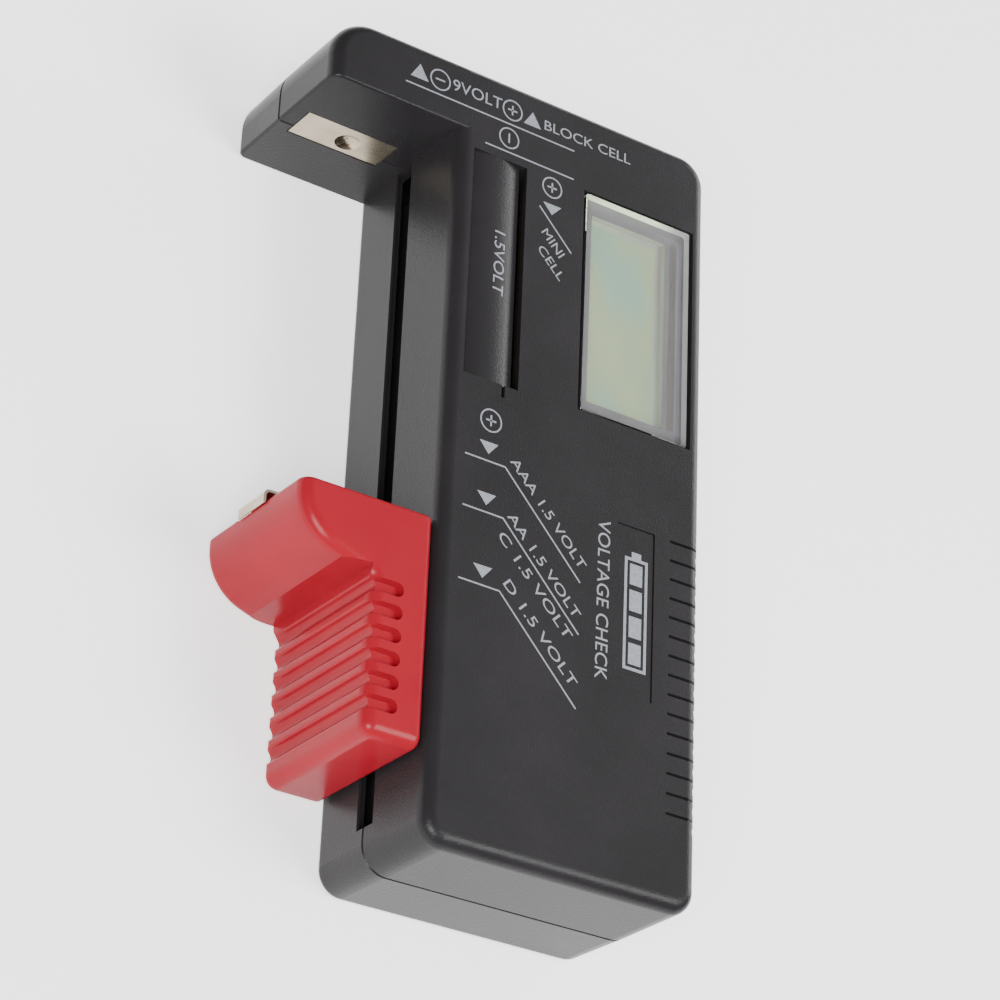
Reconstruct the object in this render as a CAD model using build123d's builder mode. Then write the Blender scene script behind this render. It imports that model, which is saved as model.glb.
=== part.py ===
"""Pocket battery tester: an L-shaped case with a display, and a sliding contact block.

The tester lies on its back.  Millimetres; +Z is out of the front face, +Y points to the
arm end, +X to the display side, and the origin is the middle of the base.
"""
from build123d import *
import os

os.makedirs("parts", exist_ok=True)

# ---------------------------------------------------------------- driving dimensions
case_length = 110.0
case_depth = 25.0
case_right = 30.0
body_left = -10.45
arm_left = -30.0
arm_thickness = 10.0
arm_edge_radius = 0.4
face_edge_radius = 1.8
back_edge_radius = 1.2
seam_height = 11.25
seam_chamfer = 0.22
rear_draft = 1.2
wall = 1.8

window_low = (9.6, 9.4)
window_high = (27.8, 42.75)
lens_gap = (0.5, 0.22)
lens_corner_radius = 0.4
lens_edge_break = 0.1
lens_seat = 0.8
lens_play = 0.05
lens_glue = 0.05

slot_low = 9.6
slot_high = 12.6
slot_end = -49.4
slot_step = (0.75, 0.9)
slot_lip = 0.4
slot_pocket = 3.0

slider_face = 24.0
slider_back = 0.4
slider_gap = 0.15
slider_top = -12.15
slider_bottom = -43.2
slider_tip = -29.4
slider_column = -18.9
slider_front_radius = 1.7
slider_back_radius = 1.2
slider_corner_radius = 1.0
slider_top_radius = 0.6
grip_grooves = 6
grip_pitch = 3.08
grip_first = -23.6
grip_radius = 0.95

thumb_grooves = 15
thumb_first = -5.15
thumb_pitch = 2.69
thumb_inner = 24.85
thumb_end_height = 13.75
thumb_slit_width = 0.4
thumb_slit_depth = 0.65
scallop_radius = 0.78
scallop_depth = 0.8
scallop_drop = 1.1

board_low = 13.0
board_thickness = 1.6
lead_radius = 0.5
sheet_metal = 0.4
snap_middle = -8.2
snap_spacing = 12.7

# ---------------------------------------------------------------- derived places
case_top = case_length / 2
case_bottom = -case_length / 2
arm_underside = case_top - arm_thickness
inner_left = body_left + wall
inner_right = case_right - wall
inner_front = case_depth - wall
inner_top = case_top - wall
board_high = board_low + board_thickness
slider_right = body_left - slider_gap
window_middle = (
    (window_low[0] + window_high[0]) / 2,
    (window_low[1] + window_high[1]) / 2,
)
window_size = (window_high[0] - window_low[0], window_high[1] - window_low[1])
case_screw_places = [(25.2, -50.2), (1.0, -50.2), (25.2, 50.2), (-25.0, 50.0)]
board_screw_places = [(6.2, -43.5), (24.6, -43.5), (14.0, 5.2), (6.0, 43.0)]
snap_places = [snap_middle - snap_spacing / 2, snap_middle + snap_spacing / 2]


def finish(builder, name):
    """Label one finished piece and write its file."""
    builder.part.label = name
    export_step(builder.part, f"parts/{name}.step")


# Rounded outer corners, seen from the front, with the radius of each.  The body and the arm
# are drawn apart and overlap, because the edges under the arm are nearly sharp.
arm_overlap = 5.0
body_corners = [
    ((body_left, case_bottom), 3.6),
    ((case_right, case_bottom), 3.2),
    ((case_right, case_top), 4.2),
]
arm_corners = [((arm_left, case_top), 6.0)]
tightest_inner_corner = 0.4


def block_outline(low, high, corners, inset):
    """Rectangle with some rounded corners, moved inwards by inset."""
    middle = ((low[0] + high[0]) / 2, (low[1] + high[1]) / 2)
    with BuildSketch() as outline:
        with Locations(middle):
            Rectangle(high[0] - low[0] - 2 * inset, high[1] - low[1] - 2 * inset)
        for corner, radius in corners:
            vertex = outline.vertices().sort_by_distance(corner)[0]
            fillet(vertex, max(radius - inset, tightest_inner_corner))
    return outline.sketch


def body_outline(inset):
    """Outline of the part of the case beside the slider."""
    return block_outline((body_left, case_bottom), (case_right, case_top), body_corners, inset)


def arm_outline(inset):
    """Outline of the arm, which reaches into the body."""
    arm_right = body_left + arm_overlap
    return block_outline((arm_left, arm_underside), (arm_right, case_top), arm_corners, inset)


def case_half(height, draft, rim_radius):
    """Solid half of the case, from the seam up or down to a face with rounded edges."""
    end, seam = (-1, 0) if height > 0 else (0, -1)
    with BuildPart() as body:
        with BuildSketch(Plane.XY.offset(seam_height)):
            add(body_outline(0))
        extrude(amount=height, taper=draft)
        fillet(body.faces().sort_by(Axis.Z)[end].edges(), rim_radius)
        chamfer(body.faces().sort_by(Axis.Z)[seam].edges(), seam_chamfer)
    with BuildPart() as arm:
        with BuildSketch(Plane.XY.offset(seam_height)):
            add(arm_outline(0))
        extrude(amount=height, taper=draft)
        inside_body = body_left + arm_overlap - 1
        rim = arm.faces().sort_by(Axis.Z)[end].edges()
        rim = rim.filter_by(lambda edge: edge.center().X < inside_body)
        fillet(rim.filter_by(lambda edge: edge.center().Y > arm_underside + 1), rim_radius)
        # nearly sharp edge round the arm's underside
        edges = arm.faces().sort_by(Axis.Y)[0].edges()
        edges = edges.filter_by(lambda edge: edge.center().X < inside_body)
        edges = edges.filter_by(lambda edge: abs(edge.center().Z - seam_height) > 0.1)
        fillet(edges, arm_edge_radius)
        edges = arm.faces().sort_by(Axis.Z)[seam].edges()
        chamfer(edges.filter_by(lambda edge: edge.center().X < inside_body), seam_chamfer)
    return body.part + arm.part


def strip_outline(points, thickness, bend_radius):
    """Side view of a bent metal strip whose middle line runs through points."""
    with BuildSketch() as outline:
        with BuildLine():
            FilletPolyline(*points, radius=bend_radius)
            offset(amount=thickness / 2, side=Side.BOTH)
        make_face()
    return outline.sketch


def lead(points, bend_radius):
    """Insulated wire along straight runs joined by arcs."""
    with BuildPart() as wire:
        with BuildLine() as route:
            FilletPolyline(*points, radius=bend_radius)
        with BuildSketch(Plane(origin=route.line @ 0, z_dir=route.line % 0)):
            Circle(lead_radius)
        sweep()
    return wire.part


def box_between(low, high, mode=Mode.ADD):
    """Box from its lowest to its highest corner."""
    middle = [(a + b) / 2 for a, b in zip(low, high)]
    size = [b - a for a, b in zip(low, high)]
    with Locations(tuple(middle)):
        Box(*size, mode=mode)


def cut_side_openings():
    """Openings that the two shells share, half of each on either side of the seam."""
    past_wall = inner_left + 0.5
    # slot that the slider's neck runs in
    box_between((body_left - 1, slot_end, slot_low), (past_wall, arm_underside, slot_high), Mode.SUBTRACT)
    # step along the slot's upper edge
    step_top = slot_high + slot_step[0]
    box_between(
        (body_left - 1, slot_end, slot_high - 1), (body_left + slot_step[1], arm_underside, step_top),
        Mode.SUBTRACT,
    )
    # entry pocket at the slot's lower end, where the neck is dropped in
    box_between(
        (body_left - 1, slot_end, slot_high - 1), (past_wall, slot_end + slot_pocket, step_top),
        Mode.SUBTRACT,
    )
    # relief that leaves the slot's lower edge as a thin lip
    box_between(
        (body_left + slot_lip, slot_end, slot_low - 1.3), (past_wall, arm_underside, slot_low + 1),
        Mode.SUBTRACT,
    )
    # seat of the arm's contact plate
    box_between(
        (plate_left - plate_play, arm_underside - 1, plate_low - 0.05),
        (plate_right + 0.05, arm_underside + wall + 0.5, plate_high + plate_play),
        Mode.SUBTRACT,
    )
    # openings of the snap contacts in the end wall
    for x in snap_places:
        box_between(
            (x - snap_opening[0] / 2, inner_top - 0.5, snap_height - snap_opening[1] / 2),
            (x + snap_opening[0] / 2, case_top + 1, snap_height + snap_opening[1] / 2),
            Mode.SUBTRACT,
        )


# arm contact plate and snap contacts, shared with the openings above
plate_left = -27.5
plate_right = -13.85
plate_low = 9.5
plate_high = 15.0
plate_recess = 0.15
plate_play = 0.25
snap_height = 12.5
snap_opening = (8.0, 7.0)

# ---------------------------------------------------------------- front shell
barrel_left = -8.1
barrel_right = 0.3
barrel_low = 8.85
barrel_high = 42.4
barrel_middle = -4.4
barrel_radius = 9.4
mini_slot_left = -0.3
mini_slot_low = 9.15
mini_slot_floor = 15.2
mini_cavity_right = 1.6
mini_lip = 0.4
mini_wall = 0.7
pin_slit = (-1.97, 7.97)
pin_slit_size = (0.5, 1.8)
mini_lead_y = 22.0
panel_outline = [(16.5, -4.9), (22.2, -4.9), (22.2, -28.5), (16.5, -26.2)]
panel_depth = 0.12
panel_line_width = 0.16
panel_line_depth = 0.28
boss_radius = 2.6
case_screw_radius = 1.0
post_radius = 2.0
board_screw_radius = 0.8
rib_left = -6.2
rib_right = -5.2
rib_low = 8.5
rib_high = 14.0

# Cutter of one finger grip: a slit that runs over the face, round the edge and down the side,
# and a scallop in the side only, between this slit and the next one.
with BuildPart() as groove_cutter:
    with BuildLine(Plane.XZ.offset(-thumb_first)) as groove_path:
        FilletPolyline(
            (thumb_inner, case_depth),
            (case_right, case_depth),
            (case_right, thumb_end_height),
            radius=face_edge_radius,
        )
    with BuildSketch(Plane(origin=groove_path.line @ 0, x_dir=(0, 1, 0), z_dir=(1, 0, 0))):
        Rectangle(thumb_slit_width, 2 * thumb_slit_depth, align=(Align.MIN, Align.CENTER))
    sweep(path=groove_path.line)
    scallop_middle = (case_right + scallop_radius - scallop_depth, thumb_first - scallop_drop)
    with Locations((*scallop_middle, thumb_end_height)):
        Cylinder(
            scallop_radius,
            case_depth + 1 - thumb_end_height,
            align=(Align.CENTER, Align.CENTER, Align.MIN),
        )

with BuildPart() as front_shell:
    add(case_half(case_depth - seam_height, 0, face_edge_radius))
    with BuildSketch(Plane.XY.offset(seam_height)):
        add(body_outline(wall))
        add(arm_outline(wall))
    extrude(amount=inner_front - seam_height, mode=Mode.SUBTRACT)
    # window
    box_between((*window_low, inner_front - 1), (*window_high, case_depth + 1), Mode.SUBTRACT)
    # shallow battery-shaped hump inside a sunk rectangle
    with BuildSketch(Plane.XZ.offset(-barrel_low)):
        with Locations(((barrel_left + barrel_right) / 2, case_depth)):
            Rectangle(barrel_right - barrel_left, 3.0)
        with Locations((barrel_middle, case_depth - barrel_radius)):
            Circle(barrel_radius, mode=Mode.SUBTRACT)
    extrude(amount=-(barrel_high - barrel_low), mode=Mode.SUBTRACT)
    # walls of the button-cell slot, then the slot itself, which widens below a thin lip
    box_between(
        (mini_slot_left - mini_wall, mini_slot_low - mini_wall, mini_slot_floor - mini_wall),
        (mini_cavity_right + mini_wall, barrel_high + mini_wall, inner_front),
    )
    box_between(
        (mini_slot_left, mini_slot_low, mini_slot_floor),
        (barrel_right, barrel_high, case_depth + 1),
        Mode.SUBTRACT,
    )
    box_between(
        (mini_slot_left, mini_slot_low, mini_slot_floor),
        (mini_cavity_right, barrel_high, case_depth - mini_lip),
        Mode.SUBTRACT,
    )
    # hole that the button-cell contact's lead leaves by
    with BuildSketch(Plane.XY.offset(mini_slot_floor - mini_wall)):
        with Locations((mini_cavity_right - sheet_metal / 2, mini_lead_y)):
            Circle(lead_radius + 0.2)
    extrude(amount=mini_wall + 0.8, mode=Mode.SUBTRACT)
    # narrow slit beside the slot's lower end
    with BuildSketch(Plane.XY.offset(case_depth)):
        with Locations(pin_slit):
            Rectangle(*pin_slit_size)
    extrude(amount=-1.2, mode=Mode.SUBTRACT)
    # sunk label panel, with a deeper line along its upper and right-hand edges
    with BuildSketch(Plane.XY.offset(case_depth)):
        Polygon(*panel_outline, align=None)
    extrude(amount=-panel_depth, mode=Mode.SUBTRACT)
    panel_corner = panel_outline[1]
    box_between(
        (*panel_outline[0], case_depth - panel_line_depth),
        (panel_corner[0], panel_corner[1] + panel_line_width, case_depth + 1),
        Mode.SUBTRACT,
    )
    box_between(
        (panel_corner[0], panel_outline[2][1], case_depth - panel_line_depth),
        (panel_corner[0] + panel_line_width, panel_corner[1] + panel_line_width, case_depth + 1),
        Mode.SUBTRACT,
    )
    # screw bosses, board posts and the rib that keeps the slider's flange in
    with BuildSketch(Plane.XY.offset(seam_height)):
        with Locations(*case_screw_places):
            Circle(boss_radius)
            Circle(case_screw_radius, mode=Mode.SUBTRACT)
    extrude(amount=inner_front - seam_height)
    with BuildSketch(Plane.XY.offset(board_high)):
        with Locations(*board_screw_places):
            Circle(post_radius)
            Circle(board_screw_radius, mode=Mode.SUBTRACT)
    extrude(amount=inner_front - board_high)
    box_between((rib_left, slot_end - 2, rib_high), (rib_right, arm_underside - 1, inner_front))
    # finger grooves that run over the right-hand edge
    for index in range(thumb_grooves):
        add(Pos(0, -index * thumb_pitch, 0) * groove_cutter.part, mode=Mode.SUBTRACT)
    cut_side_openings()
finish(front_shell, "front_shell")


# ---------------------------------------------------------------- rear shell
screw_head_radius = 2.1
counterbore_depth = 3.0
screw_clearance_radius = 1.15
rail_thickness = 0.4
rail_left = -4.6
rail_right = rail_left + rail_thickness
rail_low = 8.5
rail_high = 13.5
rail_start = -48.0
rail_end = 43.5
rail_post_places = [-45.0, -15.0, 15.0, 41.0]
rail_post_length = 3.0

with BuildPart() as rear_shell:
    add(case_half(-seam_height, rear_draft, back_edge_radius))
    with BuildSketch(Plane.XY.offset(seam_height)):
        add(body_outline(wall))
        add(arm_outline(wall))
    extrude(amount=-(seam_height - wall), mode=Mode.SUBTRACT)
    with BuildSketch(Plane.XY.offset(wall)):
        with Locations(*case_screw_places):
            Circle(boss_radius)
    extrude(amount=seam_height - wall)
    with BuildSketch(Plane.XY):
        with Locations(*case_screw_places):
            Circle(screw_clearance_radius)
    extrude(amount=seam_height, mode=Mode.SUBTRACT)
    with BuildSketch(Plane.XY):
        with Locations(*case_screw_places):
            Circle(screw_head_radius + 0.2)
    extrude(amount=counterbore_depth, mode=Mode.SUBTRACT)
    # rib that keeps the slider's flange in, and the posts that the rail stands on
    box_between((rib_left, slot_end - 2, wall), (rib_right, arm_underside - 1, rib_low))
    for y in rail_post_places:
        box_between(
            (rib_right, y - rail_post_length / 2, wall),
            (rail_right + 0.4, y + rail_post_length / 2, rail_low),
        )
    cut_side_openings()
finish(rear_shell, "rear_shell")

# ---------------------------------------------------------------- display
lens_top = case_depth - 0.1
frame_thickness = 1.0
glass_thickness = 0.9
frame_high = inner_front - lens_seat
frame_low = frame_high - frame_thickness
glass_low = frame_low - 2 * glass_thickness
reflector_thickness = 0.3
display_size = (window_size[0] + 0.4, window_size[1] + 1.3)
lens_size = (window_size[0] - 2 * lens_gap[0], window_size[1] - 2 * lens_gap[1])
lens_low = frame_high + lens_glue
view_low = (11.95, 12.0)
view_high = (24.2, 40.4)
zebra_width = 1.5
zebra_length = 30.0
zebra_offset = 7.9

with BuildPart() as lcd_window:
    with BuildSketch(Plane.XY.offset(lens_low)):
        with Locations(window_middle):
            RectangleRounded(*lens_size, lens_corner_radius)
    extrude(amount=lens_top - lens_low)
    chamfer(lcd_window.faces().sort_by(Axis.Z)[-1].edges(), lens_edge_break)
finish(lcd_window, "lcd_window")

with BuildPart() as lcd_frame:
    with BuildSketch(Plane.XY.offset(frame_low)):
        with Locations(window_middle):
            Rectangle(*display_size)
        with Locations(((view_low[0] + view_high[0]) / 2, (view_low[1] + view_high[1]) / 2)):
            Rectangle(view_high[0] - view_low[0], view_high[1] - view_low[1], mode=Mode.SUBTRACT)
    extrude(amount=frame_thickness)
    # raised border that the lens sits in
    with BuildSketch(Plane.XY.offset(frame_high)):
        with Locations(window_middle):
            Rectangle(*display_size)
            Rectangle(lens_size[0] + 2 * lens_play, lens_size[1] + 2 * lens_play, mode=Mode.SUBTRACT)
    extrude(amount=lens_seat)
finish(lcd_frame, "lcd_frame")

with BuildPart() as lcd_glass:
    with BuildSketch(Plane.XY.offset(glass_low)):
        with Locations(window_middle):
            Rectangle(display_size[0] - 0.6, display_size[1] - 0.4)
    extrude(amount=glass_thickness)
    # the front pane is shorter, which leaves the lower pane's contact ledge bare
    with BuildSketch(Plane.XY.offset(glass_low + glass_thickness)):
        with Locations((window_middle[0], window_middle[1] - 1.2)):
            Rectangle(display_size[0] - 0.6, display_size[1] - 2.8)
    extrude(amount=glass_thickness)
finish(lcd_glass, "lcd_glass")

with BuildPart() as lcd_reflector:
    with BuildSketch(Plane.XY.offset(glass_low - reflector_thickness)):
        with Locations(window_middle):
            Rectangle(2 * zebra_offset - zebra_width - 0.4, display_size[1] - 1.0)
    extrude(amount=reflector_thickness)
finish(lcd_reflector, "lcd_reflector")

with BuildPart() as zebra_strips:
    with BuildSketch(Plane.XY.offset(board_high)):
        with Locations(
            (window_middle[0] - zebra_offset, window_middle[1]),
            (window_middle[0] + zebra_offset, window_middle[1]),
        ):
            Rectangle(zebra_width, zebra_length)
    extrude(amount=glass_low - board_high)
finish(zebra_strips, "zebra_strips")

# ---------------------------------------------------------------- circuit board
board_left = 3.5
board_right = 27.9
board_start = -46.8
board_end = 46.6
blob_radius = 5.5
blob_height = 1.8
blob_place = (18.0, 24.0)
resistor_radius = 1.5
resistor_length = 6.5
resistor_drop = 2.6
resistor_places = [(15.5, -32.0), (15.5, -27.0), (15.5, -22.0)]
resistor_lead_radius = 0.3
resistor_lead_reach = 2.2
capacitor_radius = 2.5
capacitor_height = 7.0
capacitor_places = [(8.0, -11.0), (8.0, -4.5)]
inductor_radius = 3.5
inductor_height = 4.0
inductor_place = (20.0, -8.0)
chip_size = (2.0, 1.25, 0.6)
chip_rows = 4
chip_columns = 3
chip_pitch = (4.0, 3.2)
chip_middle = (21.0, 9.0)

with BuildPart() as main_board:
    with BuildSketch(Plane.XY.offset(board_low)):
        with Locations(((board_left + board_right) / 2, (board_start + board_end) / 2)):
            RectangleRounded(board_right - board_left, board_end - board_start, 1.0)
        with Locations(*board_screw_places):
            Circle(board_screw_radius, mode=Mode.SUBTRACT)
    extrude(amount=board_thickness)
finish(main_board, "main_board")

# epoxy drop over the controller chip: a low dome on the board's underside
blob_sphere = (blob_radius**2 + blob_height**2) / (2 * blob_height)
with BuildPart() as controller_blob:
    with BuildSketch(Plane.XZ.offset(-blob_place[1])):
        with BuildLine():
            Line((blob_place[0], board_low), (blob_place[0] + blob_radius, board_low))
            RadiusArc(
                (blob_place[0] + blob_radius, board_low),
                (blob_place[0], board_low - blob_height),
                blob_sphere,
            )
            Line((blob_place[0], board_low - blob_height), (blob_place[0], board_low))
        make_face()
    revolve(axis=Axis((blob_place[0], blob_place[1], 0), (0, 0, 1)))
finish(controller_blob, "controller_blob")

with BuildPart() as load_resistors:
    for x, y in resistor_places:
        centre_height = board_low - resistor_drop
        with Locations(Location((x, y, centre_height), (0, 90, 0))):
            Cylinder(resistor_radius, resistor_length)
        reach = resistor_length / 2 + resistor_lead_reach
        for side in (-1, 1):
            with BuildLine() as wire:
                FilletPolyline(
                    (x + side * resistor_length / 2, y, centre_height),
                    (x + side * reach, y, centre_height),
                    (x + side * reach, y, board_low),
                    radius=1.0,
                )
            with BuildSketch(Plane(origin=wire.line @ 0, z_dir=wire.line % 0)):
                Circle(resistor_lead_radius)
            sweep(path=wire.line)
finish(load_resistors, "load_resistors")

with BuildPart() as electrolytic_capacitors:
    with BuildSketch(Plane.XY.offset(board_low)):
        with Locations(*capacitor_places):
            Circle(capacitor_radius)
    extrude(amount=-capacitor_height)
    fillet(electrolytic_capacitors.faces().sort_by(Axis.Z)[:2].edges(), 0.4)
finish(electrolytic_capacitors, "electrolytic_capacitors")

with BuildPart() as boost_inductor:
    with BuildSketch(Plane.XY.offset(board_low)):
        with Locations(inductor_place):
            Circle(inductor_radius)
    extrude(amount=-inductor_height)
    with BuildSketch(Plane.XY.offset(board_low - 0.9)):
        with Locations(inductor_place):
            Circle(inductor_radius)
            Circle(inductor_radius - 0.5, mode=Mode.SUBTRACT)
    extrude(amount=-(inductor_height - 1.8), mode=Mode.SUBTRACT)
finish(boost_inductor, "boost_inductor")

with BuildPart() as chip_components:
    with Locations((*chip_middle, board_low - chip_size[2] / 2)):
        with GridLocations(*chip_pitch, chip_columns, chip_rows):
            Box(*chip_size)
finish(chip_components, "chip_components")

with BuildPart() as board_screws:
    with BuildSketch(Plane.XY.offset(board_low - 1.2)):
        with Locations(*board_screw_places):
            Circle(1.6)
    extrude(amount=1.2)
    with BuildSketch(Plane.XY.offset(board_low)):
        with Locations(*board_screw_places):
            Circle(board_screw_radius)
    extrude(amount=6.0)
finish(board_screws, "board_screws")

# ---------------------------------------------------------------- contacts in the case
plate_floor = arm_underside + plate_recess
plate_tab_top = arm_underside + 4.6
dimple_place = (-19.8, 12.0)
dimple_radius = 1.75
dimple_depth = 0.7


def dome(radius, height):
    """Spherical cap that stands on the plate's lower face, over the dish."""
    sphere_radius = (radius**2 + height**2) / (2 * height)
    with BuildPart() as cap:
        with BuildSketch(Plane.XY.offset(dimple_place[1])):
            with Locations((dimple_place[0], plate_floor + height - sphere_radius)):
                Circle(sphere_radius)
            with Locations((dimple_place[0] + sphere_radius, plate_floor + sphere_radius)):
                Rectangle(2 * sphere_radius, 2 * sphere_radius, mode=Mode.INTERSECT)
        revolve(axis=Axis((dimple_place[0], 0, dimple_place[1]), (0, 1, 0)))
    return cap.part


with BuildPart() as negative_plate:
    box_between((plate_left, plate_floor, plate_low), (plate_right, plate_floor + sheet_metal, plate_high))
    # tab bent up into the arm
    box_between(
        (plate_right - sheet_metal, plate_floor, plate_low + 1.2),
        (plate_right, plate_tab_top, plate_high - 1.2),
    )
    # lips bent up along the two long edges
    lip_top = arm_underside + wall + 0.4
    for low in (plate_low, plate_high - sheet_metal):
        box_between((plate_left, plate_floor, low), (plate_right, lip_top, low + sheet_metal))
    # pressed dish that centres a cell's flat end
    add(dome(dimple_radius + sheet_metal, dimple_depth + sheet_metal))
    add(dome(dimple_radius, dimple_depth), mode=Mode.SUBTRACT)
finish(negative_plate, "negative_plate")


def snap_contact(x, dish_radius):
    """Pressed cup behind an opening in the end wall, with a flange inside the wall."""
    cup = (snap_opening[0] - 0.3, snap_opening[1] - 0.3)
    flange = (snap_opening[0] + 1.6, snap_opening[1] + 1.2)
    cup_face = case_top - 0.5
    with BuildPart() as contact:
        with BuildSketch(Plane.XZ.offset(-(inner_top - sheet_metal))):
            with Locations((x, snap_height)):
                Rectangle(*flange)
        extrude(amount=-sheet_metal)
        with BuildSketch(Plane.XZ.offset(-inner_top)):
            with Locations((x, snap_height)):
                RectangleRounded(*cup, 0.8)
        extrude(amount=-(cup_face - inner_top))
        with BuildSketch(Plane.XZ.offset(-(inner_top - sheet_metal))):
            with Locations((x, snap_height)):
                RectangleRounded(cup[0] - 2 * sheet_metal, cup[1] - 2 * sheet_metal, 0.4)
        extrude(amount=-(cup_face - inner_top), mode=Mode.SUBTRACT)
        with BuildSketch(Plane.XZ.offset(-cup_face)):
            with Locations((x, snap_height)):
                Circle(dish_radius)
        extrude(amount=0.25, taper=15, mode=Mode.SUBTRACT)
    return contact


nine_volt_negative_contact = snap_contact(snap_places[0], 2.7)
finish(nine_volt_negative_contact, "nine_volt_negative_contact")
nine_volt_positive_contact = snap_contact(snap_places[1], 2.2)
finish(nine_volt_positive_contact, "nine_volt_positive_contact")

mini_blade_low = mini_slot_floor + 0.4
with BuildPart() as mini_cell_contact:
    box_between(
        (mini_cavity_right - sheet_metal, mini_slot_low + 2, mini_blade_low),
        (mini_cavity_right, barrel_high - 2, inner_front - 1.0),
    )
finish(mini_cell_contact, "mini_cell_contact")

with BuildPart() as contact_rail:
    box_between((rail_left, rail_start, rail_low), (rail_right, rail_end, rail_high))
finish(contact_rail, "contact_rail")

# ---------------------------------------------------------------- wiring
with BuildPart() as negative_lead:
    tab_middle = (plate_low + plate_high) / 2
    negative_route = [
        (plate_right, 48.6, tab_middle),
        (-1.0, 48.6, tab_middle),
        (7.5, 40.5, 9.5),
        (7.5, 40.5, board_low),
    ]
    add(lead(negative_route, 1.2))
finish(negative_lead, "negative_lead")

flange_back = inner_top - sheet_metal
with BuildPart() as nine_volt_leads:
    first = snap_places[0] + 3.2
    second = snap_places[1] + 3.2
    negative_snap_route = [
        (first, flange_back, 16.2),
        (first, 50.9, 16.4),
        (5.5, 50.9, 17.4),
        (9.5, 45.3, 17.0),
        (9.5, 45.3, board_high),
    ]
    positive_snap_route = [
        (second, flange_back, 8.8),
        (second, 51.0, 8.8),
        (10.5, 50.0, 9.2),
        (12.5, 44.0, 9.6),
        (12.5, 44.0, board_low),
    ]
    add(lead(negative_snap_route, 1.0))
    add(lead(positive_snap_route, 1.0))
finish(nine_volt_leads, "nine_volt_leads")

with BuildPart() as mini_cell_lead:
    blade_x = mini_cavity_right - sheet_metal / 2
    mini_route = [
        (blade_x, mini_lead_y, mini_blade_low),
        (blade_x, mini_lead_y, 10.6),
        (6.0, mini_lead_y - 3, 10.6),
        (6.0, mini_lead_y - 3, board_low),
    ]
    add(lead(mini_route, 1.2))
finish(mini_cell_lead, "mini_cell_lead")

with BuildPart() as rail_lead:
    rail_route = [(rail_right, 28.0, 10.8), (0.5, 28.0, 10.8), (6.0, 31.0, 9.8), (6.0, 31.0, board_low)]
    add(lead(rail_route, 1.2))
finish(rail_lead, "rail_lead")

with BuildPart() as case_screws:
    with BuildSketch(Plane.XY.offset(counterbore_depth - 1.6)):
        with Locations(*case_screw_places):
            Circle(screw_head_radius)
    extrude(amount=1.6)
    with BuildSketch(Plane.XY.offset(counterbore_depth)):
        with Locations(*case_screw_places):
            Circle(case_screw_radius)
    extrude(amount=13.0)
    with Locations(*[(x, y, counterbore_depth - 1.6) for x, y in case_screw_places]):
        Box(0.6, 2.8, 1.4, mode=Mode.SUBTRACT)
        Box(2.8, 0.6, 1.4, mode=Mode.SUBTRACT)
finish(case_screws, "case_screws")

# ---------------------------------------------------------------- slider
neck_low = slot_low + 0.25
neck_high = slot_high - 0.25
neck_top = -13.5
neck_bottom = -38.0
flange_left = inner_left + 0.3
flange_right = rib_left - 0.4
flange_low = 6.5
flange_high = 16.0
notch_low = 7.6
notch_high = 15.3
notch_floor = slider_top - 1.9
notch_sill = (0.8, 0.5)
notch_right = -13.8
strip_slot = (-14.7, -14.2)
strip_turn = -20.5
strip_height = (neck_low + 0.4, neck_high - 0.4)
strip_clearance = 0.05
pocket_end = -14.4
pocket_depth = 1.0

# one finger groove of the grip, with rounded shoulders, cut along the whole depth
with BuildSketch() as groove_profile:
    with Locations((slider_column - 2.0, grip_first)):
        Rectangle(4.0, grip_pitch + 2.0)
    with Locations((slider_column + 0.05, grip_first)):
        Circle(grip_radius)
    mouth = groove_profile.vertices().filter_by(lambda v: abs(v.Y - grip_first) < grip_radius + 0.1)
    fillet(mouth.sort_by(Axis.X)[-2:], 0.35)

# the arm's underside: an arc from the tip, then a straight run that is tangent to it
bulge_start = (slider_tip, slider_top - 1.4)
bulge_end = (-24.3, -20.65)
bulge_width = bulge_end[0] - bulge_start[0]
bulge_drop = bulge_start[1] - bulge_end[1]
bulge_radius = (bulge_width**2 + bulge_drop**2) / (2 * bulge_width)
underside_slope = (bulge_width - bulge_radius) / bulge_drop
column_top = bulge_end[1] + underside_slope * (slider_column - bulge_end[0])

with BuildSketch() as slider_outline:
    with BuildLine():
        Line((slider_right, slider_top), (slider_tip, slider_top))
        Line((slider_tip, slider_top), bulge_start)
        TangentArc(bulge_start, bulge_end, tangent=(0, -1))
        Line(bulge_end, (slider_column, column_top))
        Line((slider_column, column_top), (slider_column, slider_bottom))
        Line((slider_column, slider_bottom), (slider_right, slider_bottom))
        Line((slider_right, slider_bottom), (slider_right, slider_top))
    make_face()
    corners = [
        ((slider_column, column_top), 0.8),
        ((slider_column, slider_bottom), 1.8),
    ]
    for place, radius in corners:
        fillet(slider_outline.vertices().sort_by_distance(place)[0], radius)

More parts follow.
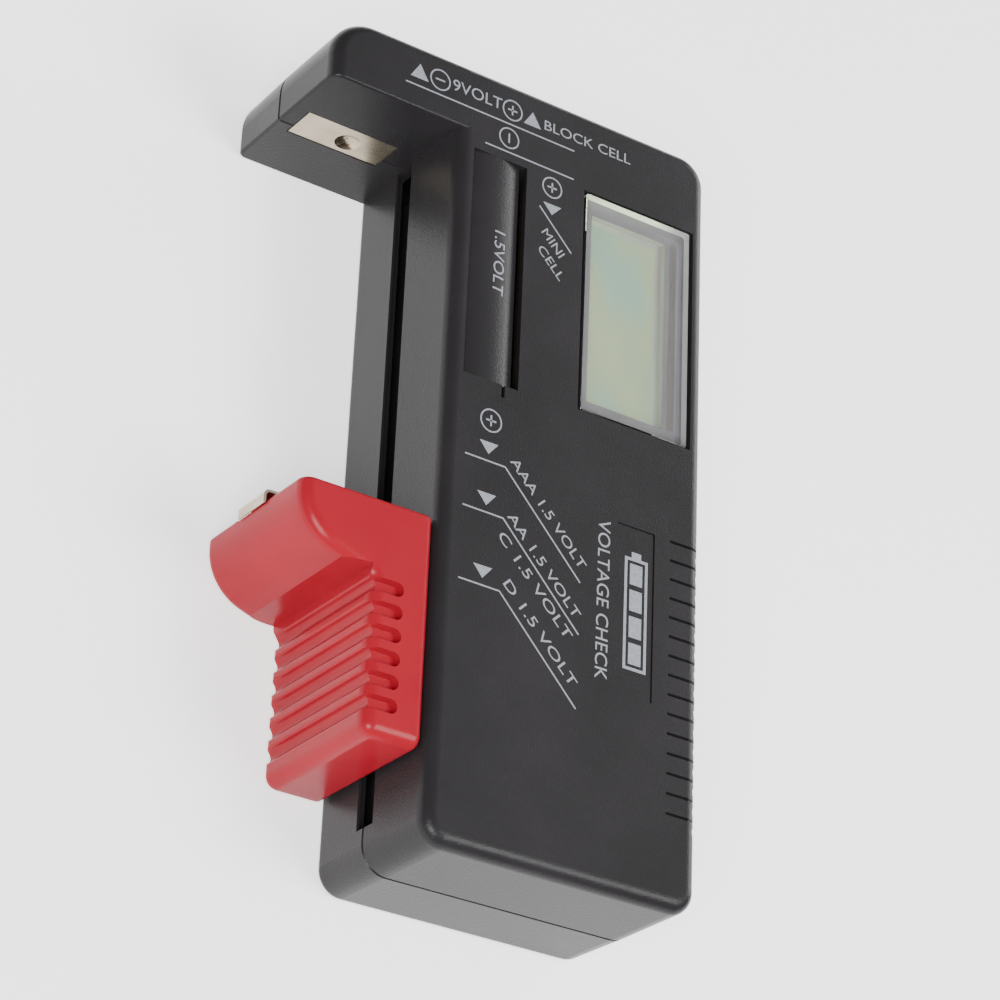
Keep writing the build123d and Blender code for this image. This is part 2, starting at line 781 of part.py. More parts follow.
with BuildPart() as slider_body:
    with BuildSketch(Plane.XY.offset(slider_back)):
        add(slider_outline.sketch)
    extrude(amount=slider_face - slider_back)
    # rounded edges, except along the top and beside the case
    for end, radius in ((-1, slider_front_radius), (0, slider_back_radius)):
        rim = slider_body.faces().sort_by(Axis.Z)[end].edges()
        rim = rim.filter_by(lambda edge: edge.center().X < slider_right - 0.01)
        fillet(rim.filter_by(lambda edge: edge.center().Y < slider_top - 0.01), radius)
    corner = slider_body.edges().filter_by(Axis.Z).sort_by_distance((slider_right, slider_bottom, 12))[0]
    fillet(corner, slider_corner_radius)
    top_edges = slider_body.faces().sort_by(Axis.Y)[-1].edges()
    fillet(top_edges.filter_by(lambda edge: edge.center().X < slider_right - 0.01), slider_top_radius)
    # grip: grooves down the side that wrap on to the front face as round-ended pockets
    for index in range(grip_grooves):
        drop = -index * grip_pitch
        with BuildSketch(Plane.XY.offset(slider_back - 1)):
            with Locations((0, drop)):
                add(groove_profile.sketch)
        extrude(amount=slider_face - slider_back + 2, mode=Mode.SUBTRACT)
        with BuildSketch(Plane.XY.offset(slider_face)):
            with Locations((pocket_end - grip_radius, grip_first + drop)):
                Circle(grip_radius)
            with Locations((slider_column - 0.6, grip_first + drop)):
                Rectangle(2 * (pocket_end - grip_radius - slider_column + 0.6), 2 * grip_radius)
        extrude(amount=-pocket_depth, taper=12, mode=Mode.SUBTRACT)
    # neck through the case's side slot, and the flange that it is held by
    box_between((slider_right - 3, neck_bottom, neck_low), (flange_left, neck_top, neck_high))
    box_between((flange_left, neck_bottom, flange_low), (flange_right, neck_top, flange_high))
    # notch for the contact leaf, and the channel of the strip that leads inwards from it
    notch_mouth = (notch_right, slider_top + 1, notch_high)
    box_between((slider_tip + notch_sill[0], notch_floor, notch_low), notch_mouth, Mode.SUBTRACT)
    # the notch is shallower where it opens at the tip
    box_between((slider_tip - 1, slider_top - notch_sill[1], notch_low), notch_mouth, Mode.SUBTRACT)
    box_between(
        (strip_slot[0], strip_turn, strip_height[0] - strip_clearance),
        (strip_slot[1], slider_top + 1, strip_height[1] + strip_clearance),
        Mode.SUBTRACT,
    )
    box_between(
        (strip_slot[0], strip_turn, strip_height[0] - strip_clearance),
        (flange_right + 1, strip_turn + 0.5, strip_height[1] + strip_clearance),
        Mode.SUBTRACT,
    )
finish(slider_body, "slider_body")

# the leaf's hook hangs down just outside the slider's tip, and its other end stands in the notch
leaf_thickness = 0.35
leaf_width = 6.2
leaf_middle_height = 11.95
leaf_hook = slider_tip - 0.22
leaf_hook_end = slider_top - 0.4
leaf_crest = slider_top + 1.2
leaf_root = notch_floor + 0.8
with BuildPart() as slider_contact_leaf:
    leaf_side = strip_outline(
        [(leaf_hook, leaf_hook_end), (leaf_hook, leaf_crest), (-25.8, leaf_crest), (-15.0, leaf_root)],
        leaf_thickness,
        0.7,
    )
    with BuildSketch(Plane.XY.offset(leaf_middle_height - leaf_width / 2)):
        add(leaf_side)
    extrude(amount=leaf_width)
finish(slider_contact_leaf, "slider_contact_leaf")

with BuildPart() as slider_contact_strip:
    box_between(
        (strip_slot[0] + strip_clearance, strip_turn + strip_clearance, strip_height[0]),
        (strip_slot[1] - strip_clearance, notch_floor, strip_height[1]),
    )
    box_between(
        (strip_slot[0] + strip_clearance, strip_turn + strip_clearance, strip_height[0]),
        (flange_right, strip_turn + 0.5 - strip_clearance, strip_height[1]),
    )
finish(slider_contact_strip, "slider_contact_strip")

wiper_gap = 0.1
with BuildPart() as slider_wiper:
    # plate on the flange, with two fingers that bow across to the rail
    box_between((flange_right, -26.0, strip_height[0]), (flange_right + 0.3, -16.0, strip_height[1]))
    for root, turn in ((-25.0, -1), (-17.0, 1)):
        reach = rail_left - wiper_gap - 0.15
        finger_side = strip_outline(
            [
                (flange_right + 0.15, root),
                (reach, root + turn * 3.5),
                (reach, root + turn * 5.0),
                (flange_right + 0.8, root + turn * 6.5),
            ],
            0.3,
            0.6,
        )
        with BuildSketch(Plane.XY.offset(strip_height[0])):
            add(finger_side)
        extrude(amount=strip_height[1] - strip_height[0])
finish(slider_wiper, "slider_wiper")
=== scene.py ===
"""Looks of the pocket battery tester: materials, printed marks, display details, light and camera.

Everything is in metres in the CAD model's frame: the tester lies on its back, +Z is out of its
front face, +Y points to the arm end and +X to the display side.
"""
import math

import bmesh
import bpy
from mathutils import Matrix, Vector


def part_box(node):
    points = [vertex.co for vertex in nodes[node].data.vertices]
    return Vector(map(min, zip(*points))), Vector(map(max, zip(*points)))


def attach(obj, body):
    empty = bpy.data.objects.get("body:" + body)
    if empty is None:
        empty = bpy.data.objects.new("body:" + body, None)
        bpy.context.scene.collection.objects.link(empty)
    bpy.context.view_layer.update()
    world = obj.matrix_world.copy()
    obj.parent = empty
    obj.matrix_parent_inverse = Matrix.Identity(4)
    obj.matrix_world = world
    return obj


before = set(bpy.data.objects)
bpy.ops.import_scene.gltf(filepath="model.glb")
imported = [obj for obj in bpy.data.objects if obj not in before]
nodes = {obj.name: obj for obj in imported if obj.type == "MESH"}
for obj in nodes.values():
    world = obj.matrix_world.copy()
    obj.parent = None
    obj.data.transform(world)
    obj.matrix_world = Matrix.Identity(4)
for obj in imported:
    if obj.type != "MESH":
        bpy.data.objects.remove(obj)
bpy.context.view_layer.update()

MM = 0.001

face_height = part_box("front_shell")[1].z


# ---------------------------------------------------------------- node material helpers
def new_material(name):
    """Material with an empty Principled shader, and its node tree."""
    material = bpy.data.materials.new(name)
    material.use_nodes = True
    tree = material.node_tree
    shader = tree.nodes["Principled BSDF"]
    return material, tree, shader


def object_coordinates(tree, stretch=(1, 1, 1)):
    """Object coordinates in metres, stretched along the axes."""
    coordinates = tree.nodes.new("ShaderNodeTexCoord")
    mapping = tree.nodes.new("ShaderNodeMapping")
    mapping.inputs["Scale"].default_value = stretch
    tree.links.new(coordinates.outputs["Object"], mapping.inputs["Vector"])
    return mapping.outputs["Vector"]


def noise(tree, vector, scale, detail=3.0, roughness=0.55):
    """Noise value over a vector."""
    node = tree.nodes.new("ShaderNodeTexNoise")
    node.inputs["Scale"].default_value = scale
    node.inputs["Detail"].default_value = detail
    node.inputs["Roughness"].default_value = roughness
    tree.links.new(vector, node.inputs["Vector"])
    return node.outputs["Fac"]


def ramp(tree, value, stops):
    """Colour ramp with stops of (position, colour)."""
    node = tree.nodes.new("ShaderNodeValToRGB")
    elements = node.color_ramp.elements
    while len(elements) < len(stops):
        elements.new(0.5)
    for element, (position, colour) in zip(elements, stops):
        element.position = position
        element.color = (*colour, 1.0)
    tree.links.new(value, node.inputs["Fac"])
    return node.outputs["Color"]


def spread(tree, value, low, high):
    """A 0 to 1 value mapped to low to high."""
    node = tree.nodes.new("ShaderNodeMapRange")
    node.inputs["To Min"].default_value = low
    node.inputs["To Max"].default_value = high
    tree.links.new(value, node.inputs["Value"])
    return node.outputs["Result"]


def step_mask(tree, value, low, high):
    """A value turned into 0 below low and 1 above high."""
    node = tree.nodes.new("ShaderNodeMapRange")
    node.interpolation_type = "SMOOTHSTEP"
    node.inputs["From Min"].default_value = low
    node.inputs["From Max"].default_value = high
    tree.links.new(value, node.inputs["Value"])
    return node.outputs["Result"]


def put(tree, socket, source):
    """Sets a socket from another socket or from a plain number or colour."""
    if isinstance(source, bpy.types.NodeSocket):
        tree.links.new(source, socket)
    elif isinstance(source, tuple):
        socket.default_value = (*source, 1.0)
    else:
        socket.default_value = source


def mix_values(tree, mask, without, within):
    """Mix of two values or numbers by a mask."""
    node = tree.nodes.new("ShaderNodeMix")
    tree.links.new(mask, node.inputs["Factor"])
    put(tree, node.inputs["A"], without)
    put(tree, node.inputs["B"], within)
    return node.outputs["Result"]


def mix_colours(tree, mask, without, within):
    """Mix of two colours by a mask."""
    node = tree.nodes.new("ShaderNodeMix")
    node.data_type = "RGBA"
    colour_in = [socket for socket in node.inputs if socket.type == "RGBA"]
    tree.links.new(mask, node.inputs["Factor"])
    put(tree, colour_in[0], without)
    put(tree, colour_in[1], within)
    return [socket for socket in node.outputs if socket.type == "RGBA"][0]


def bump(tree, shader, heights):
    """Bumps stacked on a shader's normal, each (height value, distance in metres, strength)."""
    below = None
    for height, distance, strength in heights:
        node = tree.nodes.new("ShaderNodeBump")
        node.inputs["Distance"].default_value = distance
        node.inputs["Strength"].default_value = strength
        tree.links.new(height, node.inputs["Height"])
        if below is not None:
            tree.links.new(below, node.inputs["Normal"])
        below = node.outputs["Normal"]
    tree.links.new(below, shader.inputs["Normal"])


def moulded_plastic(name, dark, light, roughness, grain, grain_depth, specular=0.5):
    """Moulded plastic: mottled colour, fine spark-eroded grain and slightly uneven gloss."""
    material, tree, shader = new_material(name)
    place = object_coordinates(tree)
    cloud = noise(tree, place, 60.0, 4.0)
    speck = noise(tree, place, grain, 2.0)
    tree.links.new(ramp(tree, cloud, [(0.3, dark), (0.7, light)]), shader.inputs["Base Color"])
    tree.links.new(spread(tree, cloud, roughness[0], roughness[1]), shader.inputs["Roughness"])
    shader.inputs["IOR"].default_value = 1.5
    shader.inputs["Specular IOR Level"].default_value = specular
    bump(tree, shader, [(speck, grain_depth, 0.5), (cloud, 0.00004, 0.25)])
    return material


def plated_metal(name, dark, light, roughness, brush, brush_scale=1500.0):
    """Plated strip metal with fine rolling marks along one axis and faint tarnish."""
    material, tree, shader = new_material(name)
    marks = noise(tree, object_coordinates(tree, brush), brush_scale, 3.0, 0.7)
    tarnish = noise(tree, object_coordinates(tree), 220.0, 4.0)
    shader.inputs["Metallic"].default_value = 1.0
    tree.links.new(ramp(tree, tarnish, [(0.3, dark), (0.7, light)]), shader.inputs["Base Color"])
    tree.links.new(spread(tree, marks, roughness[0], roughness[1]), shader.inputs["Roughness"])
    bump(tree, shader, [(marks, 0.000012, 0.35)])
    return material


# ---------------------------------------------------------------- materials
case_plastic = moulded_plastic(
    "case_plastic", (0.0140, 0.0130, 0.0140), (0.0185, 0.0170, 0.0185), (0.27, 0.35), 3800.0, 0.00008, 0.13
)
# the rear shell gets a lighter, glossier copy of the case plastic: painted light for the brighter light
# its half catches
rear_plastic_painted_light = moulded_plastic(
    "rear_plastic_painted_light", (0.0160, 0.0150, 0.0160), (0.0205, 0.0190, 0.0205), (0.27, 0.35), 3800.0, 0.00008, 0.16
)
slider_plastic = moulded_plastic(
    "slider_plastic", (0.255, 0.007, 0.0155), (0.305, 0.010, 0.0195), (0.20, 0.28), 900.0, 0.000008, 0.12
)
slider_inputs = slider_plastic.node_tree.nodes["Principled BSDF"].inputs
slider_inputs["Subsurface Weight"].default_value = 0.08
slider_inputs["Subsurface Radius"].default_value = (0.002, 0.0004, 0.0003)
nickel = plated_metal("nickel", (0.40, 0.34, 0.25), (0.54, 0.47, 0.36), (0.16, 0.30), (0.06, 1, 1))
screw_steel = plated_metal("screw_steel", (0.42, 0.42, 0.43), (0.60, 0.60, 0.60), (0.2, 0.35), (1, 1, 1))
board_green = moulded_plastic(
    "board_green", (0.010, 0.085, 0.030), (0.014, 0.115, 0.040), (0.25, 0.35), 1200.0, 0.00001
)
epoxy_black = moulded_plastic(
    "epoxy_black", (0.006, 0.006, 0.006), (0.010, 0.010, 0.010), (0.12, 0.2), 900.0, 0.00001
)
component_grey = moulded_plastic(
    "component_grey", (0.05, 0.05, 0.055), (0.08, 0.08, 0.085), (0.3, 0.45), 1500.0, 0.00001
)
wire_black = moulded_plastic(
    "wire_black", (0.012, 0.012, 0.012), (0.020, 0.020, 0.020), (0.35, 0.45), 2500.0, 0.00001
)
zebra_grey = moulded_plastic(
    "zebra_grey", (0.06, 0.06, 0.065), (0.09, 0.09, 0.095), (0.5, 0.6), 2500.0, 0.00001
)
film_white = moulded_plastic(
    "film_white", (0.52, 0.53, 0.50), (0.60, 0.61, 0.58), (0.4, 0.5), 1500.0, 0.00001
)


def make_ink():
    """Screen-printed pale grey ink, slightly uneven in cover."""
    material, tree, shader = new_material("ink")
    cover = noise(tree, object_coordinates(tree), 2600.0, 3.0)
    colour = ramp(tree, cover, [(0.35, (0.17, 0.18, 0.205)), (0.6, (0.22, 0.235, 0.26))])
    tree.links.new(colour, shader.inputs["Base Color"])
    shader.inputs["Roughness"].default_value = 0.55
    return material


LEDGE_HEIGHT = 22.4 * MM
# lens edge colours are painted light and shade: the upper edge a painted bright glow, the near edges
# painted dark, the right-hand edge grey
LENS_EDGE = (0.24, 0.24, 0.24)
LENS_NEAR_EDGE_PAINTED_SHADE = (0.02, 0.02, 0.02)
LENS_UPPER_EDGE_PAINTED_LIGHT = (0.62, 0.74, 0.50)


def make_lens():
    """Clear slab with polished faces, and frosted edges coloured with painted light and shade: a bright
    upper edge that fades to the right, a grey right-hand edge and dark near edges.

    Edges are told from faces by the object-space normal, and from each other by their place.
    Shadow rays pass straight through, so that the lamps light the display behind.
    """
    material, tree, shader = new_material("clear_lens")
    coordinates = tree.nodes.new("ShaderNodeTexCoord")
    direction = tree.nodes.new("ShaderNodeSeparateXYZ")
    tree.links.new(coordinates.outputs["Normal"], direction.inputs["Vector"])
    upright = tree.nodes.new("ShaderNodeMath")
    upright.operation = "ABSOLUTE"
    tree.links.new(direction.outputs["Z"], upright.inputs[0])
    face = step_mask(tree, upright.outputs["Value"], 0.3, 0.5)
    place = tree.nodes.new("ShaderNodeSeparateXYZ")
    tree.links.new(coordinates.outputs["Object"], place.inputs["Vector"])
    right_hand = step_mask(tree, place.outputs["X"], 26.6 * MM, 27.0 * MM)
    upper = step_mask(tree, place.outputs["Y"], 41.9 * MM, 42.3 * MM)
    # the upper edge's painted glow fades to the grey edge colour towards the right-hand side
    painted_light_fade = step_mask(tree, place.outputs["X"], 21.0 * MM, 26.5 * MM)
    haze = noise(tree, object_coordinates(tree), 400.0, 2.0)
    polished = spread(tree, haze, 0.01, 0.03)
    tree.links.new(mix_values(tree, face, 0.4, polished), shader.inputs["Roughness"])
    tree.links.new(mix_values(tree, face, 0.0, 1.0), shader.inputs["Transmission Weight"])
    side_edge_painted_shade = mix_colours(tree, right_hand, LENS_NEAR_EDGE_PAINTED_SHADE, LENS_EDGE)
    painted_upper_glow = mix_colours(tree, painted_light_fade, LENS_UPPER_EDGE_PAINTED_LIGHT, LENS_EDGE)
    edge = mix_colours(tree, upper, side_edge_painted_shade, painted_upper_glow)
    tree.links.new(mix_colours(tree, face, edge, (0.96, 0.98, 0.96)), shader.inputs["Base Color"])
    shader.inputs["IOR"].default_value = 1.49
    shader.inputs["Specular IOR Level"].default_value = 0.3
    path = tree.nodes.new("ShaderNodeLightPath")
    clear = tree.nodes.new("ShaderNodeBsdfTransparent")
    mixer = tree.nodes.new("ShaderNodeMixShader")
    tree.links.new(path.outputs["Is Shadow Ray"], mixer.inputs["Fac"])
    tree.links.new(shader.outputs["BSDF"], mixer.inputs[1])
    tree.links.new(clear.outputs["BSDF"], mixer.inputs[2])
    tree.links.new(mixer.outputs["Shader"], tree.nodes["Material Output"].inputs["Surface"])
    return material


def make_frame():
    """Display frame: a grey ledge whose opening walls are painted pale, painted light in place of their
    shade, inside a black border that stands higher.
    """
    material, tree, shader = new_material("frame_plastic")
    place = object_coordinates(tree)
    height = tree.nodes.new("ShaderNodeSeparateXYZ")
    tree.links.new(place, height.inputs["Vector"])
    border = step_mask(tree, height.outputs["Z"], LEDGE_HEIGHT + 0.03 * MM, LEDGE_HEIGHT + 0.06 * MM)
    # walls of the opening below the ledge get a pale green painted light instead of their shade
    wall = step_mask(tree, height.outputs["Z"], LEDGE_HEIGHT - 0.10 * MM, LEDGE_HEIGHT - 0.03 * MM)
    cloud = noise(tree, place, 160.0, 3.0)
    ledge = ramp(tree, cloud, [(0.3, (0.060, 0.056, 0.062)), (0.7, (0.076, 0.071, 0.078))])
    ledge = mix_colours(tree, wall, (0.20, 0.225, 0.175), ledge)
    tree.links.new(
        mix_colours(tree, border, ledge, (0.006, 0.006, 0.006)), shader.inputs["Base Color"]
    )
    tree.links.new(spread(tree, cloud, 0.35, 0.45), shader.inputs["Roughness"])
    shader.inputs["Specular IOR Level"].default_value = 0.15
    return material


def make_display(name, grey, green):
    """Liquid-crystal cell at rest, with faint clouds of tint under a satin film."""
    material, tree, shader = new_material(name)
    place = object_coordinates(tree)
    tint = noise(tree, object_coordinates(tree, (1.3, 0.8, 1)), 90.0, 1.0)
    tree.links.new(ramp(tree, tint, [(0.35, grey), (0.65, green)]), shader.inputs["Base Color"])
    grain = noise(tree, place, 2500.0, 2.0)
    tree.links.new(spread(tree, grain, 0.36, 0.42), shader.inputs["Roughness"])
    shader.inputs["Specular IOR Level"].default_value = 0.15
    return material


ink = make_ink()
lens = make_lens()
frame_plastic = make_frame()
display = make_display("display_glass", (0.150, 0.148, 0.138), (0.180, 0.212, 0.150))
polariser = make_display("polariser", (0.148, 0.178, 0.105), (0.105, 0.166, 0.130))
ledge_brown = make_display("ledge_brown", (0.046, 0.040, 0.038), (0.054, 0.047, 0.045))
ledge_blue = make_display("ledge_blue", (0.084, 0.084, 0.096), (0.096, 0.096, 0.107))

node_materials = {
    "front_shell": case_plastic,
    "rear_shell": rear_plastic_painted_light,
    "slider_body": slider_plastic,
    "lcd_window": lens,
    "lcd_frame": frame_plastic,
    "lcd_glass": display,
    "lcd_reflector": film_white,
    "zebra_strips": zebra_grey,
    "main_board": board_green,
    "controller_blob": epoxy_black,
    "load_resistors": component_grey,
    "electrolytic_capacitors": component_grey,
    "boost_inductor": component_grey,
    "chip_components": component_grey,
    "board_screws": screw_steel,
    "case_screws": screw_steel,
}
for name, node in nodes.items():
    if name.endswith("_lead") or name.endswith("_leads"):
        material = wire_black
    else:
        material = node_materials.get(name, nickel)
    node.data.materials.clear()
    node.data.materials.append(material)


# ---------------------------------------------------------------- printed marks
PRINT_LOW = face_height - 0.02 * MM
PRINT_HIGH = face_height + 0.004 * MM
LINE_WIDTH = 0.22

# the battery-shaped hump is part of a cylinder, in millimetres
HUMP_TOP = 25.0
HUMP_RADIUS = 9.4
HUMP_MIDDLE = -4.4
# longest step of lettering that follows the hump
CURVE_STEP = 0.25 * MM
# how far the floor of the sunk label panel lies below the front face
PANEL_DEPTH = 0.12 * MM


def mesh_object(name, mesh, material):
    """Links a mesh to the scene with its material, riding on the case."""
    made = bpy.data.objects.new(name, mesh)
    bpy.context.scene.collection.objects.link(made)
    mesh.materials.append(material)
    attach(made, "case")


def prism(shape, outline):
    """Adds a thin printed shape to a bmesh from its outline in millimetres."""
    low = [shape.verts.new((x * MM, y * MM, PRINT_LOW)) for x, y in outline]
    high = [shape.verts.new((x * MM, y * MM, PRINT_HIGH)) for x, y in outline]
    count = len(outline)
    shape.faces.new(high)
    shape.faces.new(list(reversed(low)))
    for i in range(count):
        j = (i + 1) % count
        shape.faces.new((low[i], low[j], high[j], high[i]))


def stroke(shape, start, end, width=LINE_WIDTH):
    """A printed straight line with square ends."""
    along = (Vector(end) - Vector(start)).normalized()
    across = Vector((-along.y, along.x)) * width / 2
    start, end = Vector(start), Vector(end)
    prism(shape, [start - across, end - across, end + across, start + across])


def bent_line(shape, points, width=LINE_WIDTH):
    """A printed line with mitred corners."""
    left, right = [], []
    for i, point in enumerate(points):
        here = Vector(point)
        before = (here - Vector(points[i - 1])).normalized() if i else None
        after = (Vector(points[i + 1]) - here).normalized() if i + 1 < len(points) else None
        tangent = ((before or after) + (after or before)).normalized()
        across = Vector((-tangent.y, tangent.x))
        reach = width / 2 / max(0.3, abs((after or before).dot(tangent)))
        left.append(here + across * reach)
        right.append(here - across * reach)
    prism(shape, right + left[::-1])


def ring(shape, centre, radius, width=LINE_WIDTH, steps=48):
    """A printed circle line."""
    inner, outer = radius - width / 2, radius + width / 2
    for i in range(steps):
        a, b = (2 * math.pi * k / steps for k in (i, i + 1))
        corners = [(inner, a), (outer, a), (outer, b), (inner, b)]
        prism(shape, [(centre[0] + r * math.cos(t), centre[1] + r * math.sin(t)) for r, t in corners])


def sign(shape, centre, radius, arms):
    """A circled sign, whose bars point along the given angles in degrees."""
    ring(shape, centre, radius)
    reach = radius * 0.5
    for angle in arms:
        step = Vector((math.cos(math.radians(angle)), math.sin(math.radians(angle)))) * reach
        stroke(shape, Vector(centre) - step, Vector(centre) + step, LINE_WIDTH * 1.15)


def arrow(shape, centre, width, height, up):
    """A filled triangle that points up or down the case."""
    rise = height / 2 if up else -height / 2
    outline = [(-width / 2, -rise), (width / 2, -rise), (0, rise)]
    if not up:
        outline.reverse()
    prism(shape, [(centre[0] + x, centre[1] + y) for x, y in outline])


def lettering(name, text, corner, angle, length, height, surface=None):
    """Words printed from their lower left corner, fitted to a length and a letter height.

    With surface, a function from x to height in millimetres, they follow a curved face.
    """
    curve = bpy.data.curves.new(name, "FONT")
    curve.body = text
    curve.resolution_u = 4
    flat = bpy.data.objects.new(name + "_flat", curve)
    bpy.context.scene.collection.objects.link(flat)
    bpy.context.view_layer.update()
    mesh = bpy.data.meshes.new_from_object(flat)
    bpy.data.objects.remove(flat)
    low = Vector((min(v.co.x for v in mesh.vertices), min(v.co.y for v in mesh.vertices)))
    high = Vector((max(v.co.x for v in mesh.vertices), max(v.co.y for v in mesh.vertices)))
    shape = bmesh.new()
    shape.from_mesh(mesh)
    turn = Matrix.Rotation(math.radians(angle), 2)
    for vertex in shape.verts:
        along = (vertex.co.x - low.x) / (high.x - low.x) * length
        up = (vertex.co.y - low.y) / (high.y - low.y) * height
        place = turn @ Vector((along, up)) + Vector(corner)
        vertex.co = (place.x * MM, place.y * MM, PRINT_HIGH)
    if surface:
        low_x = min(v.co.x for v in shape.verts)
        high_x = max(v.co.x for v in shape.verts)
        steps = math.ceil((high_x - low_x) / CURVE_STEP)
        for i in range(1, steps):
            cut = (low_x + (high_x - low_x) * i / steps, 0, 0)
            geometry = shape.verts[:] + shape.edges[:] + shape.faces[:]
            bmesh.ops.bisect_plane(shape, geom=geometry, plane_co=cut, plane_no=(1, 0, 0))
    edges = [e for e in shape.edges if e.is_boundary]
    wall = bmesh.ops.extrude_edge_only(shape, edges=edges)
    for item in wall["geom"]:
        if isinstance(item, bmesh.types.BMVert):
            item.co.z = PRINT_LOW
    if surface:
        for vertex in shape.verts:
            vertex.co.z += surface(vertex.co.x / MM) * MM - face_height
    bmesh.ops.recalc_face_normals(shape, faces=shape.faces)
    shape.to_mesh(mesh)
    shape.free()
    mesh.name = name
    mesh_object(name, mesh, ink)


def barrel_surface(x):
    """Height of the battery-shaped hump at x, in millimetres."""
    return HUMP_TOP - HUMP_RADIUS + math.sqrt(HUMP_RADIUS**2 - (x - HUMP_MIDDLE) ** 2)


def battery_sign():
    """Generic battery with level bars, printed on the floor of the sunk panel."""
    shape = bmesh.new()
    left, right, low, high = 18.0, 21.2, -24.6, -9.3
    outline = 0.42
    half = outline / 2
    terminal_height = 0.84
    terminal_inset = 0.85
    bar_inset = 0.62
    bar_gap = 0.75
    end_gap = 0.25
    bars = 4
    stroke(shape, (left, low + half), (left, high - half), outline)
    stroke(shape, (right, low + half), (right, high - half), outline)
    stroke(shape, (left - half, high), (right + half, high), outline)
    stroke(shape, (left - half, low), (right + half, low), outline)
    terminal = high + half + terminal_height / 2
    stroke(
        shape, (left + terminal_inset, terminal), (right - terminal_inset, terminal), terminal_height
    )
    pitch = (high - low - 2 * end_gap) / bars
    for i in range(bars):
        middle = low + end_gap + (i + 0.5) * pitch
        stroke(shape, (left + bar_inset, middle), (right - bar_inset, middle), pitch - bar_gap)
    for vertex in shape.verts:
        vertex.co.z -= PANEL_DEPTH
    bmesh.ops.recalc_face_normals(shape, faces=shape.faces)
    mesh = bpy.data.meshes.new("battery_sign")
    shape.to_mesh(mesh)
    shape.free()
    mesh_object("battery_sign", mesh, ink)


def print_marks():
    """Lines, arrows and circled signs of the front face, as one screen print."""
    marks = bmesh.new()
    # nine-volt row
    arrow(marks, (-17.1, 50.6), 2.8, 2.3, up=True)
    sign(marks, (-13.9, 50.55), 1.5, (0,))
    sign(marks, (-2.4, 50.45), 1.5, (0, 90))
    arrow(marks, (0.85, 50.4), 2.8, 2.2, up=True)
    stroke(marks, (-19.2, 48.3), (7.75, 48.1))
    # button-cell row
    sign(marks, (-2.75, 45.95), 1.5, (90,))
    stroke(marks, (-6.45, 43.8), (7.8, 43.65))
    sign(marks, (4.4, 41.0), 1.5, (0, 90))
    arrow(marks, (4.5, 37.6), 2.9, 1.6, up=False)
    stroke(marks, (2.5, 37.5), (7.8, 32.1))
    # cylindrical cells
    sign(marks, (-3.57, 3.2), 1.55, (0, 90))
    size_lines = [(-7.25, -2.55), (-7.25, -9.75), (-7.35, -19.85)]
    for left, base in size_lines:
        arrow(marks, (left + 3.5, base + 1.78), 2.85, 1.7, up=False)
        bent_line(marks, [(left, base), (left + 6.1, base - 0.08), (left + 18.1, base - 12.6)])
    mesh = bpy.data.meshes.new("printed_marks")
    bmesh.ops.recalc_face_normals(marks, faces=marks.faces)
    marks.to_mesh(mesh)
    marks.free()
    mesh_object("printed_marks", mesh, ink)


print_marks()
battery_sign()
lettering("print_nine_volt", "9VOLT", (-11.9, 49.85), 0, 7.8, 1.75)
lettering("print_block_cell", "BLOCK CELL", (2.8, 49.6), 0, 14.2, 1.5)
lettering("print_barrel", "1.5VOLT", (-4.3, 31.2), -90, 9.4, 1.75, surface=barrel_surface)
lettering("print_mini", "MINI", (2.9, 33.6), -45, 4.2, 1.35)
lettering("print_cell", "CELL", (2.35, 30.85), -45, 5.2, 1.35)
lettering("print_aaa", "AAA 1.5 VOLT", (-0.5, -1.6), -46.2, 16.3, 1.45)
lettering("print_aa", "AA 1.5 VOLT", (-0.6, -9.4), -45.6, 15.4, 1.45)
lettering("print_c", "C 1.5 VOLT", (-1.9, -12.5), -45.6, 15.6, 1.45)
lettering("print_d", "D 1.5 VOLT", (-0.8, -18.8), -45.6, 15.4, 1.45)
lettering("print_check", "VOLTAGE CHECK", (13.45, -5.2), -90, 22.2, 1.9)


# ---------------------------------------------------------------- display pieces
def plate(name, low, high, material):
    """Thin rectangular piece between two corners in millimetres, with broken upper edges."""
    shape = bmesh.new()
    bmesh.ops.create_cube(shape, size=1.0)
    low, high = Vector(low) * MM, Vector(high) * MM
    for vertex in shape.verts:
        vertex.co = Vector([b if c > 0 else a for a, b, c in zip(low, high, vertex.co)])
    thickness = high.z - low.z
    upper = [e for e in shape.edges if all(v.co.z == high.z for v in e.verts)]
    bmesh.ops.bevel(shape, geom=upper, offset=thickness * 0.4, segments=2, affect="EDGES")
    mesh = bpy.data.meshes.new(name)
    shape.to_mesh(mesh)
    shape.free()
    mesh_object(name, mesh, material)


# the film stops short of the pane's upper and right-hand edges
plate("polariser_film", (12.0, 12.05, 21.402), (23.1, 39.5, 21.52), polariser)
# bands on the ledge beside the display
plate("ledge_band_dark", (25.0, 12.2, 22.402), (25.95, 40.6, 22.43), ledge_brown)
plate("ledge_band_light", (26.15, 11.6, 22.402), (26.95, 41.2, 22.43), ledge_blue)


# ---------------------------------------------------------------- stage, light and camera
def area_light(name, place, target, size, power):
    """Rectangular soft light aimed at a point, in metres and watts."""
    data = bpy.data.lights.new(name, "AREA")
    data.shape = "RECTANGLE"
    data.size, data.size_y = size
    data.energy = power
    lamp = bpy.data.objects.new(name, data)
    lamp.location = place
    lamp.rotation_euler = (Vector(target) - Vector(place)).to_track_quat("-Z", "Y").to_euler()
    bpy.context.scene.collection.objects.link(lamp)


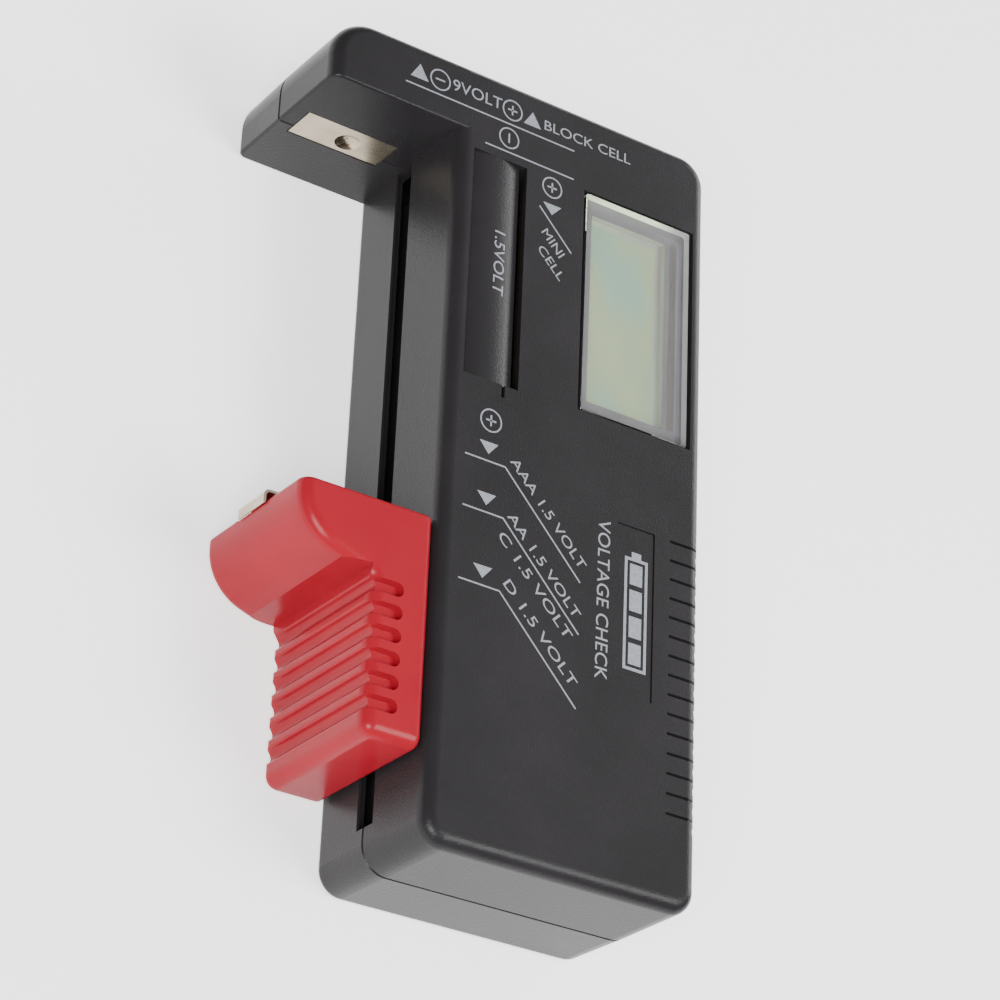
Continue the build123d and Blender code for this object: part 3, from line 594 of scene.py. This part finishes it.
def make_stage():
    """Plain pale floor under the tester."""
    material, tree, shader = new_material("floor")
    shade = noise(tree, object_coordinates(tree), 3.0, 2.0)
    white = ramp(tree, shade, [(0.3, (0.88, 0.88, 0.88)), (0.7, (0.90, 0.90, 0.90))])
    tree.links.new(white, shader.inputs["Base Color"])
    shader.inputs["Roughness"].default_value = 0.8
    shader.inputs["Specular IOR Level"].default_value = 0.1
    # the floor is a lit white table
    tree.links.new(white, shader.inputs["Emission Color"])
    shader.inputs["Emission Strength"].default_value = 1.1
    mesh = bpy.data.meshes.new("floor")
    reach = 3.0
    corners = [(-reach, -reach, 0), (reach, -reach, 0), (reach, reach, 0), (-reach, reach, 0)]
    mesh.from_pydata(corners, [], [(0, 1, 2, 3)])
    mesh.materials.append(material)
    floor = bpy.data.objects.new("floor", mesh)
    bpy.context.scene.collection.objects.link(floor)


def make_world():
    """Even pale surroundings."""
    world = bpy.data.worlds.new("studio")
    world.use_nodes = True
    background = world.node_tree.nodes["Background"]
    background.inputs["Color"].default_value = (1.0, 1.0, 1.0, 1)
    background.inputs["Strength"].default_value = 0.2
    bpy.context.scene.world = world


def make_camera():
    """Long lens above the tester's lower left, turned so that its long side stands nearly upright."""
    right = Vector((0.82446, 0.03871, 0.56459))
    up = Vector((-0.28588, 0.88949, 0.35648))
    back = right.cross(up).normalized()
    up = back.cross(right).normalized()
    right.normalize()
    data = bpy.data.cameras.new("camera")
    data.sensor_width = 36.0
    data.lens = 120.4
    data.clip_start, data.clip_end = 0.01, 20
    camera = bpy.data.objects.new("camera", data)
    rotation = Matrix((right, up, back)).transposed().to_4x4()
    camera.matrix_world = Matrix.Translation(Vector((-205.9, -197.8, 336.2)) * MM) @ rotation
    bpy.context.scene.collection.objects.link(camera)
    bpy.context.scene.camera = camera


make_stage()
make_world()
make_camera()
area_light("key", (0.44, -0.25, 0.75), (0, 0, 0.01), (0.5, 0.35), 9.0)
area_light("fill", (-0.5, -0.5, 0.75), (0, 0, 0.01), (0.5, 0.5), 16.0)
area_light("overhead", (0.70, 0.65, 1.07), (0, 0, 0.02), (1.2, 1.2), 3.2)
area_light("side", (0.80, 0.46, 0.28), (0, 0, 0.02), (0.6, 0.42), 6.5)
